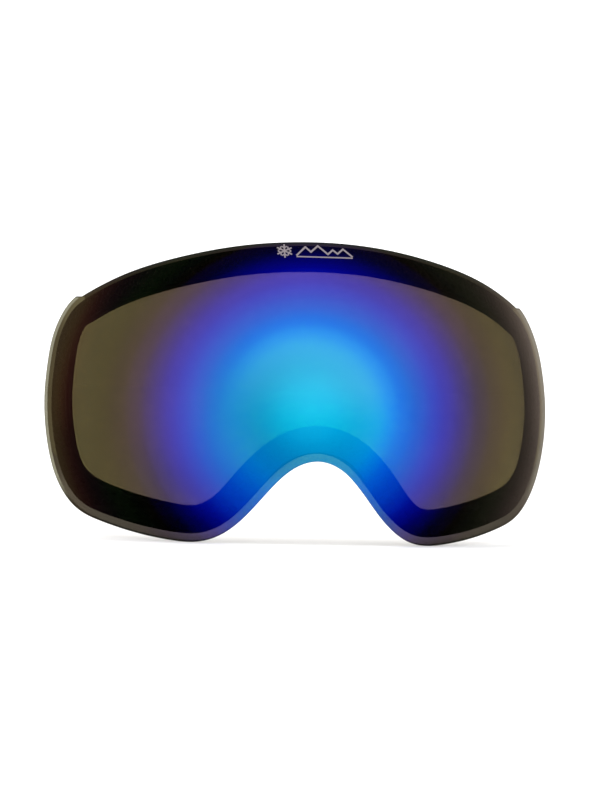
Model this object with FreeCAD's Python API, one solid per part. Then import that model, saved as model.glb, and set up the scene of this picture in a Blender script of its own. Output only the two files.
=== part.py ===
import FreeCAD, Part
import math
import os

# Double lens unit of a pair of ski goggles. Millimetres, +Z up, the front faces -Y and
# the unit is the same on both sides of the plane X = 0.
# Every surface is part of a sphere about one common centre, and every rim is cut square
# to it, along the sphere's radius.

# Driving dimensions
front_radius = 99.3       # mirror face of the outer lens
outer_lens_wall = 1.3
tape_thickness = 0.15     # double-sided tape on each face of the foam
foam_thickness = 2.5      # still air between the two lenses
inner_lens_wall = 0.8
half_width = 110.0        # foam's rim, from the middle to the side over the curve
top_rise = 65.9           # foam's rim at the top centre, over the curve from mid level
lobe_drop = 39.9          # foam's rim at the bottom of a cheek lobe, over the curve
foam_width = 9.6          # foam between the rim and the window, over the curve
flange_width = 2.5        # outer lens past the foam, for the groove in the goggle frame
top_overhang = 0.5        # outer lens past the foam above the shoulders
shoulder_rise = 43.1      # ledge where the flange ends on each side, over the curve
shoulder_rounding = 0.7   # outer corner of that ledge
inner_lens_inset = 0.4    # inner lens short of the foam's rim
tape_inset = 0.2          # tape short of the foam on both of its edges

# Right half of the foam's rim, from the top centre round to the nose. Each point is a
# share of half_width, a share of top_rise or lobe_drop, and a share of foam_width.
half_rim = (
    (0.000, 1.000, 1.00),
    (0.241, 0.977, 1.00),
    (0.477, 0.907, 1.00),
    (0.727, 0.789, 0.98),
    (0.859, 0.697, 0.98),
    (0.926, 0.643, 0.98),
    (0.982, 0.556, 0.95),
    (0.999, 0.448, 0.96),
    (0.994, 0.294, 0.97),
    (0.987, 0.143, 0.98),
    (0.976, -0.018, 0.99),
    (0.960, -0.266, 1.00),
    (0.936, -0.501, 1.03),
    (0.884, -0.707, 1.13),
    (0.759, -0.855, 1.11),
    (0.621, -0.942, 1.07),
    (0.495, -0.995, 1.03),
    (0.382, -0.994, 1.00),
    (0.285, -0.872, 1.00),
    (0.210, -0.677, 1.04),
    (0.145, -0.476, 1.03),
    (0.068, -0.308, 1.00),
    (0.000, -0.261, 0.99),
)

# Radii of the layers, from the front
outer_lens_back = front_radius - outer_lens_wall
foam_front = outer_lens_back - tape_thickness
foam_back = foam_front - foam_thickness
inner_lens_front = foam_back - tape_thickness
inner_lens_back = inner_lens_front - inner_lens_wall

centre = FreeCAD.Vector(0, 0, 0)
down_to_centre = 0.05     # near end of a cutting cone, as a share of front_radius
past_the_front = 1.2      # far end of a cutting cone
points_per_run = 4        # rim points to one face of a cut edge


def on_front(across, up):
    """Point of the front sphere that lies so far across and up over its curve."""
    turn = across / front_radius
    rise = up / front_radius
    return FreeCAD.Vector(
        math.cos(rise) * math.sin(turn), -math.cos(rise) * math.cos(turn), math.sin(rise)
    ) * front_radius


def rim_points():
    """Whole rim of the foam, clockwise from the top centre, with foam shares."""
    right = []
    for across, up, foam in half_rim:
        reach = top_rise if up > 0 else lobe_drop
        right.append((on_front(across * half_width, up * reach), foam))
    left = [(FreeCAD.Vector(-p.x, p.y, p.z), foam) for p, foam in right[-2:0:-1]]
    return right + left


def closed_curve(points):
    curve = Part.BSplineCurve()
    curve.interpolate(points, PeriodicFlag=True)
    return curve


def rim_moved(outwards, by_foam_share=False):
    """Points of the foam's rim moved square to it over the sphere, outwards or in."""
    rim = rim_points()
    curve = closed_curve([p for p, foam in rim])
    moved = []
    for p, foam in rim:
        along = FreeCAD.Vector(*curve.tangent(curve.parameter(p))[0])
        ray = FreeCAD.Vector(p).normalize()
        away = ray.cross(along).normalize()
        angle = outwards * (foam if by_foam_share else 1.0) / front_radius
        moved.append((ray * math.cos(angle) + away * math.sin(angle)) * front_radius)
    return moved


def in_runs(curve):
    """Edges of the curve cut into short runs, which keep the cut faces simple."""
    ends = curve.getKnots()[::points_per_run]
    runs = []
    for start, stop in zip(ends, ends[1:] + [curve.LastParameter]):
        if stop > start:
            run = curve.copy()
            run.segment(start, stop)
            runs.append(run.toShape())
    return runs


def cone(points):
    """Solid cone from near the centre through a closed outline on the sphere."""
    near, far = (
        in_runs(closed_curve([p * (reach * front_radius / -p.y) for p in points]))
        for reach in (down_to_centre, past_the_front)
    )
    walls = [Part.makeRuledSurface(*ends) for ends in zip(near, far)]
    caps = [Part.Face(Part.Wire(edges)) for edges in (near, far)]
    shell = Part.makeShell(walls + caps)
    shell.sewShape()
    solid = Part.makeSolid(shell)
    if solid.Volume < 0:
        solid.reverse()
    return solid


def ball(radius):
    return Part.makeSphere(radius, centre, FreeCAD.Vector(0, 0, 1))


def layer(outer, inner, outline):
    """Part of a hollow ball that lies inside an outline's cone."""
    return outline.common(ball(outer)).cut(ball(inner)).Solids[0]


def outer_lens_outline():
    """Foam's rim plus the overhang at the top, and plus the flange below the shoulders."""
    size = 4 * front_radius
    level = front_radius * math.sin(shoulder_rise / front_radius)
    below = Part.makeBox(2 * size, size, size, FreeCAD.Vector(-size, -size, level - size))
    return cone(rim_moved(flange_width)).common(below).fuse(cone(rim_moved(top_overhang)))


def ring(outer, inner, inset):
    """Layer between the foam's rim and the window, short of both by the inset."""
    window = rim_moved(inset - foam_width, by_foam_share=True)
    return layer(outer, inner, cone(rim_moved(-inset)).cut(cone(window)))


def with_round_shoulders(lens):
    """Outer lens with the outer corner of each shoulder's ledge rounded."""
    level = front_radius * math.sin(shoulder_rise / front_radius)
    across_wall = [
        edge for edge in lens.Edges
        if edge.Length < 2 * outer_lens_wall
        and all(abs(v.Z - level) < 0.01 for v in edge.Vertexes)
    ]
    widest = max(abs(edge.CenterOfMass.x) for edge in across_wall)
    corners = [e for e in across_wall if widest - abs(e.CenterOfMass.x) < flange_width / 4]
    return lens.makeFillet(shoulder_rounding, corners).Solids[0]


outer_lens = layer(front_radius, outer_lens_back, outer_lens_outline())
pieces = {
    "outer_lens": with_round_shoulders(outer_lens),
    "front_adhesive": ring(outer_lens_back, foam_front, tape_inset),
    "spacer": ring(foam_front, foam_back, 0),
    "rear_adhesive": ring(foam_back, inner_lens_front, tape_inset),
    "inner_lens": layer(inner_lens_front, inner_lens_back, cone(rim_moved(-inner_lens_inset))),
}

# The frame's origin is the middle of the whole unit's box.
box = Part.makeCompound(list(pieces.values())).optimalBoundingBox(False, False)
os.makedirs("parts", exist_ok=True)
for name, shape in pieces.items():
    shape.translate(-box.Center)
    shape.exportStep("parts/" + name + ".step")
    print(name, shape.ShapeType, "valid" if shape.isValid() else "NOT VALID",
          round(shape.Volume), "mm3", len(shape.Faces), "faces")
print("box", round(box.XLength, 2), round(box.YLength, 2), round(box.ZLength, 2),
      "centre of the spheres at", [round(-v, 3) for v in box.Center])
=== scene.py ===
import math

import bmesh
import bpy
from mathutils import Matrix, Vector


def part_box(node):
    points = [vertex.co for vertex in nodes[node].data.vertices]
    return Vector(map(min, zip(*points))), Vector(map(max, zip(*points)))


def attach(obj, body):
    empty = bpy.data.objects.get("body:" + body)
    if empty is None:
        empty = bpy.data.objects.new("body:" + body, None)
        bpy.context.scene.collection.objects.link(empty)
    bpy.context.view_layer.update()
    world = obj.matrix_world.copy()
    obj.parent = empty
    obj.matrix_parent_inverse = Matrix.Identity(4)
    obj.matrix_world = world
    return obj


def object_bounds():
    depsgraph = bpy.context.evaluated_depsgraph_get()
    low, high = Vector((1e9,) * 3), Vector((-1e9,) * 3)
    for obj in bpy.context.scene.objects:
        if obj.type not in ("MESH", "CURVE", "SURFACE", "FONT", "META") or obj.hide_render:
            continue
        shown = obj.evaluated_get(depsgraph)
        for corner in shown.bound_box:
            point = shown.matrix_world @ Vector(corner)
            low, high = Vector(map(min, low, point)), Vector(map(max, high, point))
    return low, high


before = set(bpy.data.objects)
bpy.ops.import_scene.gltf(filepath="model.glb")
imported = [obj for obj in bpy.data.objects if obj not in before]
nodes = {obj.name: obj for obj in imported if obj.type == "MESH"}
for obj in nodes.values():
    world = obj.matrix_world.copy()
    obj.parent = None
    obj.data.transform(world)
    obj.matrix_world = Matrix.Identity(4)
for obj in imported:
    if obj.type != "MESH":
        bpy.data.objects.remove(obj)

cadBox = [list(corner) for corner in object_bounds()]
mm = 0.001

# Both panes and the foam are parts of hollow balls about one centre.
lensShape = {
    "frontRadius": 99.3 * mm,
    "outerWall": 1.3 * mm,
}
lensShape["centre"] = Vector((0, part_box("outer_lens")[0][1] + lensShape["frontRadius"], -10.1 * mm))

studio = {
    "brightness": 1.5,
    "floorSize": 60.0,
    "floorColour": 0.9,
    "sunSpread": 60.0,  # degrees
    # name, place, width, height, brightness, colour
    "softBoxes": (
        ("leftSoftBox", (-1.55, 0.32, 0.30), 0.75, 1.1, 1.5, (1.0, 0.70, 0.50)),
        ("rightSoftBox", (1.20, 1.15, 0.32), 0.8, 1.0, 0.55, (1.0, 0.92, 0.85)),
    ),
}


# Node helpers

def newTree(name):
    material = bpy.data.materials.new(name)
    material.use_nodes = True
    material.node_tree.nodes.clear()
    return material, material.node_tree


def add(tree, kind, inputs=None, **settings):
    made = tree.nodes.new(kind)
    for key, value in settings.items():
        setattr(made, key, value)
    for key, value in (inputs or {}).items():
        if isinstance(value, bpy.types.NodeSocket):
            tree.links.new(value, made.inputs[key])
        else:
            made.inputs[key].default_value = value
    return made


def maths(tree, operation, first, second=0.0):
    return add(tree, "ShaderNodeMath", {0: first, 1: second}, operation=operation).outputs[0]


def product(tree, first, *others):
    for other in others:
        first = maths(tree, "MULTIPLY", first, other)
    return first


def remainder(tree, share):
    return maths(tree, "SUBTRACT", 1.0, share)


def vector(tree, operation, first, second):
    factor = 3 if operation == "SCALE" else 1
    return add(tree, "ShaderNodeVectorMath", {0: first, factor: second}, operation=operation).outputs[0]


def blend(tree, share, first, second):
    return add(tree, "ShaderNodeMix", {0: share, 4: first, 5: second}, data_type="VECTOR").outputs[1]


def mixShaders(tree, share, first, second):
    return add(tree, "ShaderNodeMixShader", {0: share, 1: first, 2: second}).outputs[0]


def seeThrough(tree, colour):
    colour = (*colour, 1) if isinstance(colour, (tuple, list)) else colour
    return add(tree, "ShaderNodeBsdfTransparent", {"Color": colour}).outputs[0]


def gloss(tree, roughness):
    return add(tree, "ShaderNodeBsdfGlossy", {"Color": (1, 1, 1, 1), "Roughness": roughness}).outputs[0]


def objectPlace(tree):
    return add(tree, "ShaderNodeTexCoord").outputs["Object"]


def axisOf(tree, place, axis):
    return add(tree, "ShaderNodeSeparateXYZ", {0: place}).outputs[axis]


def alongSlope(tree, place, slope):
    made = add(tree, "ShaderNodeVectorMath", {0: place, 1: slope}, operation="DOT_PRODUCT")
    return made.outputs["Value"]


def twoTones(tree, share, dark, light):
    made = add(tree, "ShaderNodeMix", {0: share, 6: (*dark, 1), 7: (*light, 1)}, data_type="RGBA")
    return made.outputs[2]


def smooth(tree, value, start, stop):
    # 0 before start, 1 after stop
    made = add(tree, "ShaderNodeMapRange", {"Value": value, "From Min": start, "From Max": stop},
               interpolation_type="SMOOTHSTEP")
    return made.outputs[0]


def step(tree, value, place, width):
    return smooth(tree, value, place - width, place + width)


def ramp(tree, value, stops, reach):
    # stops are (millimetres, colour), and reach is the last one's place in metres
    scaled = maths(tree, "DIVIDE", value, reach)
    made = add(tree, "ShaderNodeValToRGB", {"Fac": scaled})
    band = made.color_ramp
    band.interpolation = "CARDINAL"
    for place, colour in stops[1:-1]:
        band.elements.new(place * mm / reach)
    for element, (place, colour) in zip(band.elements, stops):
        element.color = (*colour, 1)
    return made.outputs["Color"]


def distance(tree, place, centre, flatten=(1, 1, 1)):
    away = vector(tree, "MULTIPLY", vector(tree, "SUBTRACT", place, centre), flatten)
    return add(tree, "ShaderNodeVectorMath", {0: away}, operation="LENGTH").outputs["Value"]


def slant(tree):
    # 0 where the surface is met straight on, 1 along it
    return add(tree, "ShaderNodeLayerWeight", {"Blend": 0.5}).outputs["Facing"]


def surfaceShare(tree, straightOn, atTheRim):
    # how much a pane's surface mirrors, rising steeply towards its rim
    rising = product(tree, maths(tree, "POWER", slant(tree), 5.0), atTheRim - straightOn)
    return maths(tree, "ADD", rising, straightOn)


def finish(tree, shader):
    add(tree, "ShaderNodeOutputMaterial", {"Surface": shader})


# Outer pane: smoke-brown polycarbonate with a blue mirror coat on its front, and painted reflection and
# painted shade in its colours

mirrorCoat = {
    "solidShare": 0.72,  # the mirroring part of the coat, beside the see-through part
    "coatShare": (0.27, 0.27, 0.21),  # how much light the coat itself lets through
    "roughness": 0.27,
    "grazingTint": (0.72, 0.67, 0.63),
    "faintest": (0.0003, 0.0003, 0.0003),
    # the painted reflection sits square to this direction, the front camera's turn and roll, and is a
    # little flatter above its middle
    "turn": (0, math.radians(1.36), math.radians(7.67)),
    "paintedReflectionCentre": (0.3 * mm, 0, -6.0 * mm),
    "flatterAbove": 0.06,
    "paintedReflectionReach": 88 * mm,
    # the painted reflection of a soft light: what the coat is painted to mirror, in millimetres from its
    # middle outwards
    "paintedLight": (
        (0, (0.004, 0.380, 0.690)),
        (10, (0.001, 0.290, 0.600)),
        (15, (0.0, 0.225, 0.530)),
        (20, (0.0, 0.190, 0.525)),
        (25, (0.0, 0.170, 0.570)),
        (30, (0.0, 0.120, 0.590)),
        (35, (0.0, 0.070, 0.560)),
        (40, (0.0, 0.038, 0.500)),
        (45, (0.0, 0.010, 0.375)),
        (50.5, (0.0, 0.001, 0.190)),
        (56, (0.0, 0.0, 0.045)),
        (62, (0.001, 0.0005, 0.004)),
        (66, (0.0005, 0.0015, 0.0008)),
        (71, (0.001, 0.003, 0.0008)),
        (76, (0.001, 0.001, 0.001)),
        (80, (0.003, 0.0005, 0.001)),
        (84, (0.009, 0.002, 0.001)),
        (88, (0.018, 0.011, 0.003)),
    ),
    # a painted highlight: a paler disc over the middle of the painted reflection, stronger towards its
    # upper right
    "discCentre": (-0.4 * mm, 0, -7.2 * mm),
    "paintedHighlightColour": (0.038, 0.172, 0.255),
    "greenEdge": (21 * mm, 33 * mm),
    "blueEdge": (26 * mm, 40 * mm),
    "redRise": (-13 * mm, 5 * mm),
    "discSlope": (0.6, 0, 0.8),
    "discRise": (-28.08 * mm, 15.92 * mm),
    # the painted reflection is a little weaker on the bare flange over the nose arch
    "archCentre": (0, 0, -39.2 * mm),
    "archFlange": 19.3 * mm,
    "archSoftness": 0.15 * mm,
    "archRise": (-33 * mm, -26 * mm),
    "archDimming": 0.14,
}


def fromPaintedReflectionCentre(tree, turned):
    # distance from the middle of the painted reflection, a pattern fixed on the pane
    above = maths(tree, "MAXIMUM", axisOf(tree, turned, "Z"), 0.0)
    lift = product(tree, above, mirrorCoat["flatterAbove"])
    lifted = add(tree, "ShaderNodeCombineXYZ", {"Z": lift}).outputs[0]
    return distance(tree, vector(tree, "ADD", turned, lifted), mirrorCoat["paintedReflectionCentre"], (1, 0, 1))


def paintedHighlightDisc(tree, turned):
    # painted highlight laid over the painted reflection
    fromDisc = distance(tree, turned, mirrorCoat["discCentre"], (1, 0, 1))
    green = remainder(tree, smooth(tree, fromDisc, *mirrorCoat["greenEdge"]))
    blue = remainder(tree, smooth(tree, fromDisc, *mirrorCoat["blueEdge"]))
    red = product(tree, green, smooth(tree, axisOf(tree, turned, "Z"), *mirrorCoat["redRise"]))
    spread = add(tree, "ShaderNodeCombineXYZ", {"X": red, "Y": green, "Z": blue}).outputs[0]
    sloped = alongSlope(tree, turned, mirrorCoat["discSlope"])
    coloured = vector(tree, "MULTIPLY", spread, mirrorCoat["paintedHighlightColour"])
    return vector(tree, "SCALE", coloured, smooth(tree, sloped, *mirrorCoat["discRise"]))


def paintedReflection(tree, place, turned, fromPaintedReflection):
    # painted reflection of a soft light, with a painted highlight disc on it, a little weaker over the
    # nose flange
    paintedLight = ramp(tree, fromPaintedReflection, mirrorCoat["paintedLight"], mirrorCoat["paintedReflectionReach"])
    fromArch = distance(tree, place, mirrorCoat["archCentre"], (1, 0, 1))
    pastFlange = step(tree, fromArch, mirrorCoat["archFlange"], mirrorCoat["archSoftness"])
    high = smooth(tree, axisOf(tree, place, "Z"), *mirrorCoat["archRise"])
    kept = remainder(tree, product(tree, remainder(tree, pastFlange), high, mirrorCoat["archDimming"]))
    return vector(tree, "SCALE", vector(tree, "ADD", paintedLight, paintedHighlightDisc(tree, turned)), kept)


def coatFace(tree, place, turned, fromPaintedReflection, backfacing):
    # the painted reflection and highlight go into the mirror's colour; the studio's brightness is taken
    # out, so the colours above are what is seen in it
    share = mirrorCoat["solidShare"]
    colour = vector(tree, "SCALE", paintedReflection(tree, place, turned, fromPaintedReflection),
                    1 / share / studio["brightness"])
    mirror = add(tree, "ShaderNodeBsdfPrincipled", {
        "Base Color": vector(tree, "MAXIMUM", colour, mirrorCoat["faintest"]), "Metallic": 1.0,
        "Roughness": mirrorCoat["roughness"], "Specular Tint": (*mirrorCoat["grazingTint"], 1)})
    through = [value / (1 - share) / studio["brightness"] for value in mirrorCoat["coatShare"]]
    front = mixShaders(tree, share, seeThrough(tree, through), mirror.outputs[0])
    return mixShaders(tree, backfacing, front, seeThrough(tree, mirrorCoat["coatShare"]))


dyedPane = {
    # what coat and pane let through, with the painted reflection's tint in it, in millimetres from the
    # painted reflection's middle outwards
    "dyeAndPaintedLight": (
        (0, (0.002, 0.130, 0.032)),
        (10, (0.003, 0.130, 0.032)),
        (20, (0.012, 0.116, 0.040)),
        (30, (0.023, 0.119, 0.052)),
        (35, (0.028, 0.100, 0.096)),
        (40, (0.048, 0.075, 0.124)),
        (45, (0.066, 0.064, 0.140)),
        (50.5, (0.080, 0.064, 0.148)),
        (56, (0.090, 0.069, 0.124)),
        (62, (0.098, 0.078, 0.078)),
        (68, (0.104, 0.083, 0.052)),
        (78, (0.106, 0.094, 0.048)),
        (88, (0.106, 0.094, 0.048)),
    ),
    "plainDye": (0.100, 0.088, 0.062),
    # a painted redder ring about the painted reflection, stronger at its top
    "paintedRedRing": (0.022, 0.009, 0.006),
    "bloomStarts": (30 * mm, 38 * mm),
    "bloomEnds": (58 * mm, 68 * mm),
    "bloomSlope": (-0.3, 0, 1.0),
    "bloomRise": (-16 * mm, 10 * mm),
    # a slanted look goes through more of the pane, and the right side is a little lighter
    "slant": (0.45, 0.65),
    "slantDimming": 0.63,
    "rightSide": (58 * mm, 72 * mm),
    "rightLighter": 0.2,
    # the flange along the nose arch, its see-through colour with painted reflection in it
    "archDyeAndPaintedReflection": (0.030, 0.088, 0.0403),
    "archHalfWidth": 8 * mm,
    "archSlope": (-12.1 * mm, -6.1 * mm),
    "archEnds": (20 * mm, 34 * mm),
    # painted shade on the strip past the foam along the top, with the foam's rim as a curve that drops to
    # the sides
    "topStrip": (46.2, 47.2),
    "topDrop": (0.0033, 0.00000007),
    "topEnds": 76.0 * mm,
    "topDimming": 0.8,
    # painted shade on the flange under the two lobes, darker and a little bluer
    "lobeStrip": (42.7, 43.7),
    "lobeMiddle": 48.7,
    "lobeCurve": 0.015,
    "lobeStarts": (34 * mm, 50 * mm),
    "lobePaintedShade": (0.66, 0.66, 0.95),
    # painted shade on the flange at the far left
    "farLeft": (81 * mm, 85 * mm),
    "farLeftDimming": 0.45,
    "shine": (0.03, 0.9),  # straight on, and along the surface
    "roughness": 0.04,
}
innerDye = [dyed / share for dyed, share in zip(dyedPane["plainDye"], mirrorCoat["coatShare"])]


def topShade(tree, place, aside):
    # the narrow strip past the foam along the top lies in the foam's shade
    squared = maths(tree, "POWER", maths(tree, "DIVIDE", aside, mm), 2.0)
    gentle, steep = dyedPane["topDrop"]
    drop = maths(tree, "ADD", product(tree, squared, gentle),
                 product(tree, maths(tree, "POWER", squared, 2.0), steep))
    above = maths(tree, "ADD", maths(tree, "DIVIDE", axisOf(tree, place, "Z"), mm), drop)
    beforeEnds = maths(tree, "LESS_THAN", aside, dyedPane["topEnds"])
    return remainder(tree, product(tree, smooth(tree, above, *dyedPane["topStrip"]), beforeEnds,
                                   dyedPane["topDimming"]))


def archShare(tree, height, aside):
    wide = maths(tree, "MAXIMUM", aside, dyedPane["archHalfWidth"])
    sloped = smooth(tree, maths(tree, "ADD", wide, height), *dyedPane["archSlope"])
    pastEnds = smooth(tree, wide, *dyedPane["archEnds"])
    return product(tree, remainder(tree, sloped), remainder(tree, pastEnds))


def lobeShare(tree, height, aside):
    # mask for the painted shade on the flange under the two lobes
    past = maths(tree, "SUBTRACT", maths(tree, "DIVIDE", aside, mm), dyedPane["lobeMiddle"])
    rise = product(tree, maths(tree, "POWER", maths(tree, "MAXIMUM", past, 0.0), 2.0),
                   dyedPane["lobeCurve"])
    below = maths(tree, "SUBTRACT", rise, maths(tree, "DIVIDE", height, mm))
    return product(tree, smooth(tree, below, *dyedPane["lobeStrip"]),
                   smooth(tree, aside, *dyedPane["lobeStarts"]))


def dyeAndPaintedReflection(tree, turned, fromPaintedReflection):
    # see-through colour by distance from the painted reflection's middle, with its tint and a painted red
    # ring in it
    inRing = product(tree, smooth(tree, fromPaintedReflection, *dyedPane["bloomStarts"]),
                     remainder(tree, smooth(tree, fromPaintedReflection, *dyedPane["bloomEnds"])))
    sloped = alongSlope(tree, turned, dyedPane["bloomSlope"])
    paintedRedRing = vector(tree, "SCALE", dyedPane["paintedRedRing"], product(
        tree, inRing, smooth(tree, sloped, *dyedPane["bloomRise"])))
    return vector(tree, "ADD", ramp(tree, fromPaintedReflection, dyedPane["dyeAndPaintedLight"], mirrorCoat["paintedReflectionReach"]), paintedRedRing)


def letThroughWithPaintedLight(tree, place, turned, fromPaintedReflection):
    # what the pane lets through from the front, with painted reflection and painted shade put into it
    across = axisOf(tree, place, "X")
    aside = maths(tree, "ABSOLUTE", across)
    height = axisOf(tree, place, "Z")
    dyeAndPaintedLight = blend(tree, archShare(tree, height, aside), dyeAndPaintedReflection(tree, turned, fromPaintedReflection),
                dyedPane["archDyeAndPaintedReflection"])
    longPath = product(tree, smooth(tree, slant(tree), *dyedPane["slant"]), dyedPane["slantDimming"])
    lighter = product(tree, smooth(tree, axisOf(tree, turned, "X"), *dyedPane["rightSide"]),
                      dyedPane["rightLighter"])
    dyeAndPaintedLight = vector(tree, "SCALE", vector(tree, "DIVIDE", dyeAndPaintedLight, mirrorCoat["coatShare"]),
                 maths(tree, "ADD", remainder(tree, longPath), lighter))
    dyeAndPaintedLight = vector(tree, "SCALE", dyeAndPaintedLight, topShade(tree, place, aside))
    dyeAndPaintedLight = blend(tree, lobeShare(tree, height, aside), dyeAndPaintedLight,
                vector(tree, "MULTIPLY", dyeAndPaintedLight, dyedPane["lobePaintedShade"]))
    # painted shade: at the far left the flange is darkened where the foam's dark side shows through its
    # depth
    toTheLeft = smooth(tree, maths(tree, "MULTIPLY", across, -1.0), *dyedPane["farLeft"])
    dimming = product(tree, toTheLeft, dyedPane["farLeftDimming"])
    return vector(tree, "SCALE", dyeAndPaintedLight, remainder(tree, dimming))


def backFace(tree, place, turned, fromPaintedReflection, backfacing):
    # plain dye and gloss from the eye's side; from the front, the see-through colour with painted
    # reflection and painted shade in it
    fromEye = mixShaders(tree, surfaceShare(tree, *dyedPane["shine"]), seeThrough(tree, innerDye),
                         gloss(tree, dyedPane["roughness"]))
    fromFront = seeThrough(tree, letThroughWithPaintedLight(tree, place, turned, fromPaintedReflection))
    return mixShaders(tree, backfacing, fromEye, fromFront)


# The cut edge carries painted light and shade: it is painted lighter at the sides, between the lobes and
# the shoulders, standing in for light passing through it, and dark elsewhere, standing in for the dark
# foam it mirrors.
cutEdge = {
    "colour": (1.0, 0.98, 0.93),
    "dark": 0.08,
    "paintedLight": 0.9,
    "sides": (58 * mm, 76 * mm),
    "rightShare": 0.35,
    "above": (-40 * mm, -30 * mm),
    "shoulderHeight": 31.3 * mm,
    "shoulderSoftness": 0.1 * mm,
}


def edgeFace(tree, place):
    # painted light and shade on the cut edge
    across = axisOf(tree, place, "X")
    height = axisOf(tree, place, "Z")
    left = smooth(tree, maths(tree, "MULTIPLY", across, -1.0), *cutEdge["sides"])
    right = product(tree, smooth(tree, across, *cutEdge["sides"]), cutEdge["rightShare"])
    aboveShoulder = step(tree, height, cutEdge["shoulderHeight"], cutEdge["shoulderSoftness"])
    bright = product(tree, maths(tree, "ADD", left, right), smooth(tree, height, *cutEdge["above"]),
                     remainder(tree, aboveShoulder), cutEdge["paintedLight"])
    return seeThrough(tree, vector(tree, "SCALE", cutEdge["colour"],
                                   maths(tree, "ADD", cutEdge["dark"], bright)))


def mirrorPane():
    material, tree = newTree("mirrorPane")
    place = objectPlace(tree)
    turned = add(tree, "ShaderNodeMapping", {"Vector": place, "Rotation": mirrorCoat["turn"]}).outputs[0]
    fromPaintedReflection = fromPaintedReflectionCentre(tree, turned)
    backfacing = add(tree, "ShaderNodeNewGeometry").outputs["Backfacing"]

    # the pane's faces are told apart by how far they are from the centre of the ball
    margin = 0.1 * mm
    frontRadius = lensShape["frontRadius"]
    fromCentre = distance(tree, place, tuple(lensShape["centre"]))
    onFront = maths(tree, "GREATER_THAN", fromCentre, frontRadius - margin)
    onBack = maths(tree, "LESS_THAN", fromCentre, frontRadius - lensShape["outerWall"] + margin)
    front = coatFace(tree, place, turned, fromPaintedReflection, backfacing)
    back = backFace(tree, place, turned, fromPaintedReflection, backfacing)
    finish(tree, mixShaders(tree, onBack, mixShaders(tree, onFront, edgeFace(tree, place), front), back))
    return material


# Inner pane: clear cellulose propionate

innerPane = {
    "tintPerFace": (0.906, 0.872, 0.787),
    "shine": (0.02, 0.35),  # straight on, and along the surface
    "roughness": 0.03,
}


def clearPane():
    material, tree = newTree("clearPane")
    finish(tree, mixShaders(tree, surfaceShare(tree, *innerPane["shine"]),
                            seeThrough(tree, innerPane["tintPerFace"]),
                            gloss(tree, innerPane["roughness"])))
    return material


# Foam spacer

foamRing = {
    "cellSize": 0.35 * mm,
    "cellDepth": 0.1 * mm,
    "bump": 0.6,
    "dark": (0.002, 0.002, 0.0022),
    "light": (0.012, 0.012, 0.014),
    "roughness": 0.95,
    "gloss": 0.05,
}


def blackFoam():
    material, tree = newTree("blackFoam")
    cells = add(tree, "ShaderNodeTexVoronoi", {
        "Vector": objectPlace(tree), "Scale": 1 / foamRing["cellSize"]}, feature="F1").outputs["Distance"]
    # the tone is darkest in each cell's middle, where the bump makes a hollow: painted shade in the pores
    tone = twoTones(tree, cells, foamRing["dark"], foamRing["light"])
    bump = add(tree, "ShaderNodeBump", {
        "Strength": foamRing["bump"], "Distance": foamRing["cellDepth"], "Height": cells})
    finish(tree, add(tree, "ShaderNodeBsdfPrincipled", {
        "Base Color": tone, "Roughness": foamRing["roughness"], "Specular IOR Level": foamRing["gloss"],
        "Normal": bump.outputs[0]}).outputs[0])
    return material


# Double-sided tape on both faces of the foam

tapeRing = {
    "dark": (0.0015, 0.0015, 0.0018),
    "light": (0.004, 0.004, 0.0045),
    "grainScale": 900.0,
    "grainDetail": 3.0,
    "roughness": 0.8,
    "gloss": 0.0,
}


def grained(name, look):
    material, tree = newTree(name)
    grain = add(tree, "ShaderNodeTexNoise", {
        "Vector": objectPlace(tree), "Scale": look["grainScale"], "Detail": look["grainDetail"]})
    tone = twoTones(tree, grain.outputs[0], look["dark"], look["light"])
    finish(tree, add(tree, "ShaderNodeBsdfPrincipled", {
        "Base Color": tone, "Roughness": look["roughness"],
        "Specular IOR Level": look["gloss"]}).outputs[0])
    return material


def newObject(name, made):
    mesh = bpy.data.meshes.new(name)
    made.to_mesh(mesh)
    made.free()
    piece = bpy.data.objects.new(name, mesh)
    bpy.context.scene.collection.objects.link(piece)
    return piece


def setMaterial(piece, material):
    piece.data.materials.clear()
    piece.data.materials.append(material)


setMaterial(nodes["outer_lens"], mirrorPane())
setMaterial(nodes["inner_lens"], clearPane())
tape = grained("tapeFilm", tapeRing)
setMaterial(nodes["front_adhesive"], tape)
setMaterial(nodes["rear_adhesive"], tape)
setMaterial(nodes["spacer"], blackFoam())
print("panes, tape and foam have their finishes")


# Printed mark: a snow crystal beside a ridge of peaks, laid on the curve of the pane

printedMark = {
    "height": 62.2 * mm,
    "proud": 0.05 * mm,
    "depth": 0.08 * mm,
    "crystalAt": -10.6 * mm,
    "arm": 2.6 * mm,
    "twigStart": 0.55,  # share of the arm
    "twig": 0.36,
    "crystalStroke": 0.55 * mm,
    "twigStroke": 0.44 * mm,
    "ridgeStroke": 0.6325 * mm,
    "baseStroke": 0.495 * mm,
    "longestPiece": 1.0 * mm,
    "peaks": ((-6.4, -1.6), (-3.4, 1.9), (-1.6, -0.2), (0.9, 2.5), (4.2, -1.0), (6.0, 0.9), (7.6, -0.7),
              (9.6, 1.4), (12.6, -1.6)),
    "baseLine": ((-6.4, -2.3), (12.6, -2.3)),
    "ink": {
        "dark": (0.170, 0.146, 0.158),
        "light": (0.215, 0.185, 0.200),
        "grainScale": 2600.0,
        "grainDetail": 2.0,
        "roughness": 0.5,
        "gloss": 0.2,
    },
}


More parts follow.
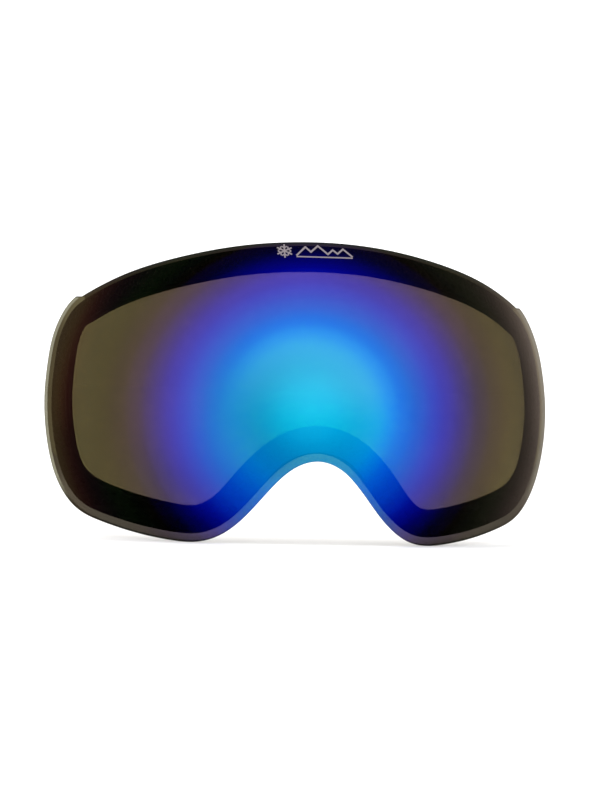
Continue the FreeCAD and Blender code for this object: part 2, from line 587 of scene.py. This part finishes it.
def strokes():
    # each is a start, an end and a width, flat on the page
    lines = []
    middle = Vector((printedMark["crystalAt"], 0))
    for turn in range(6):
        arm = Matrix.Rotation(-turn * math.pi / 3, 2) @ Vector((0, printedMark["arm"]))
        lines.append((middle, middle + arm, printedMark["crystalStroke"]))
        fork = middle + arm * printedMark["twigStart"]
        for lean in (-1, 1):
            twig = Matrix.Rotation(lean * math.pi / 3, 2) @ arm * printedMark["twig"]
            lines.append((fork, fork + twig, printedMark["twigStroke"]))
    for first, second in zip(printedMark["peaks"], printedMark["peaks"][1:]):
        lines.append((Vector(first) * mm, Vector(second) * mm, printedMark["ridgeStroke"]))
    first, second = printedMark["baseLine"]
    lines.append((Vector(first) * mm, Vector(second) * mm, printedMark["baseStroke"]))
    return lines


def flatMark():
    made = bmesh.new()
    for start, stop, width in strokes():
        run = stop - start
        pieces = max(2, int(run.length / printedMark["longestPiece"]))
        alongLine = Matrix.Translation((*(start + run / 2), 0)) @ Matrix.Rotation(
            math.atan2(run.y, run.x), 4, "Z") @ Matrix.Diagonal((run.length + width, width, 1, 1))
        bmesh.ops.create_grid(made, x_segments=pieces, y_segments=1, size=0.5, matrix=alongLine)
    bmesh.ops.solidify(made, geom=made.faces[:], thickness=printedMark["depth"])
    return made


def layMark():
    made = flatMark()
    highest = max(vert.co.z for vert in made.verts)
    radius = lensShape["frontRadius"]
    for vert in made.verts:
        rise = (vert.co.y + printedMark["height"]) / radius
        turn = vert.co.x / radius / math.cos(rise)
        level = Vector((math.sin(turn), -math.cos(turn), 0)) * math.cos(rise)
        outwards = level + Vector((0, 0, math.sin(rise)))
        vert.co = lensShape["centre"] + (radius + printedMark["proud"] + vert.co.z - highest) * outwards
    bmesh.ops.recalc_face_normals(made, faces=made.faces[:])
    mark = newObject("printedMark", made)
    setMaterial(mark, grained("greyInk", printedMark["ink"]))
    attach(mark, "root")


layMark()
print("printed mark is on the pane")


# Studio: pale floor, even white surroundings, a soft high light and a soft box at each side

def paleFloor():
    made = bmesh.new()
    bmesh.ops.create_circle(made, cap_ends=True, segments=64, radius=studio["floorSize"] / 2,
                            matrix=Matrix.Translation((0, 0, cadBox[0][2])))
    floor = newObject("floor", made)
    material, tree = newTree("paleFloor")
    grey = studio["floorColour"]
    finish(tree, add(tree, "ShaderNodeBsdfDiffuse", {"Color": (grey, grey, grey, 1)}).outputs[0])
    setMaterial(floor, material)


def softLight():
    world = bpy.data.worlds.new("studio")
    world.use_nodes = True
    background = world.node_tree.nodes["Background"]
    background.inputs["Color"].default_value = (1, 1, 1, 1)
    background.inputs["Strength"].default_value = studio["brightness"]
    bpy.context.scene.world = world

    # with this light from above, the floor comes out as bright as the walls around it
    overhead = bpy.data.lights.new("overhead", "SUN")
    overhead.energy = math.pi * studio["brightness"] * (1 / studio["floorColour"] - 1)
    overhead.angle = math.radians(studio["sunSpread"])
    bpy.context.scene.collection.objects.link(bpy.data.objects.new("overhead", overhead))

    for name, place, width, height, brightness, colour in studio["softBoxes"]:
        softBox = bpy.data.lights.new(name, "AREA")
        softBox.shape = "RECTANGLE"
        softBox.size = width
        softBox.size_y = height
        softBox.energy = math.pi * width * height * brightness
        softBox.color = colour
        light = bpy.data.objects.new(name, softBox)
        light.location = place
        light.rotation_euler = Vector(place).to_track_quat("Z", "Y").to_euler()
        bpy.context.scene.collection.objects.link(light)


cameraRig = {
    # nearly level, turned to the lens's left, and rolled a little
    "aim": Vector((-4.0 * mm, 0.6 * mm, -0.7 * mm)),
    "turn": math.radians(7.67),
    "rise": math.radians(0.18),
    "roll": math.radians(1.36),
    "distance": 1.101,
    "focalLength": 194.6,
    "sensorWidth": 36.0,
    "clip": (0.01, 100),
}


def frontCamera():
    data = bpy.data.cameras.new("frontCamera")
    data.sensor_fit = "HORIZONTAL"
    data.sensor_width = cameraRig["sensorWidth"]
    data.lens = cameraRig["focalLength"]
    data.clip_start, data.clip_end = cameraRig["clip"]
    camera = bpy.data.objects.new("frontCamera", data)
    turn = Matrix.Rotation(-cameraRig["turn"], 4, "Z")
    rise = Matrix.Rotation(math.pi / 2 - cameraRig["rise"], 4, "X")
    roll = Matrix.Rotation(cameraRig["roll"], 4, "Z")
    back = Matrix.Translation((0, 0, cameraRig["distance"]))
    camera.matrix_world = Matrix.Translation(cameraRig["aim"]) @ turn @ rise @ roll @ back
    bpy.context.scene.collection.objects.link(camera)
    bpy.context.scene.camera = camera


paleFloor()
softLight()
frontCamera()
bpy.context.scene.view_settings.view_transform = "Standard"
print("studio and camera stand")
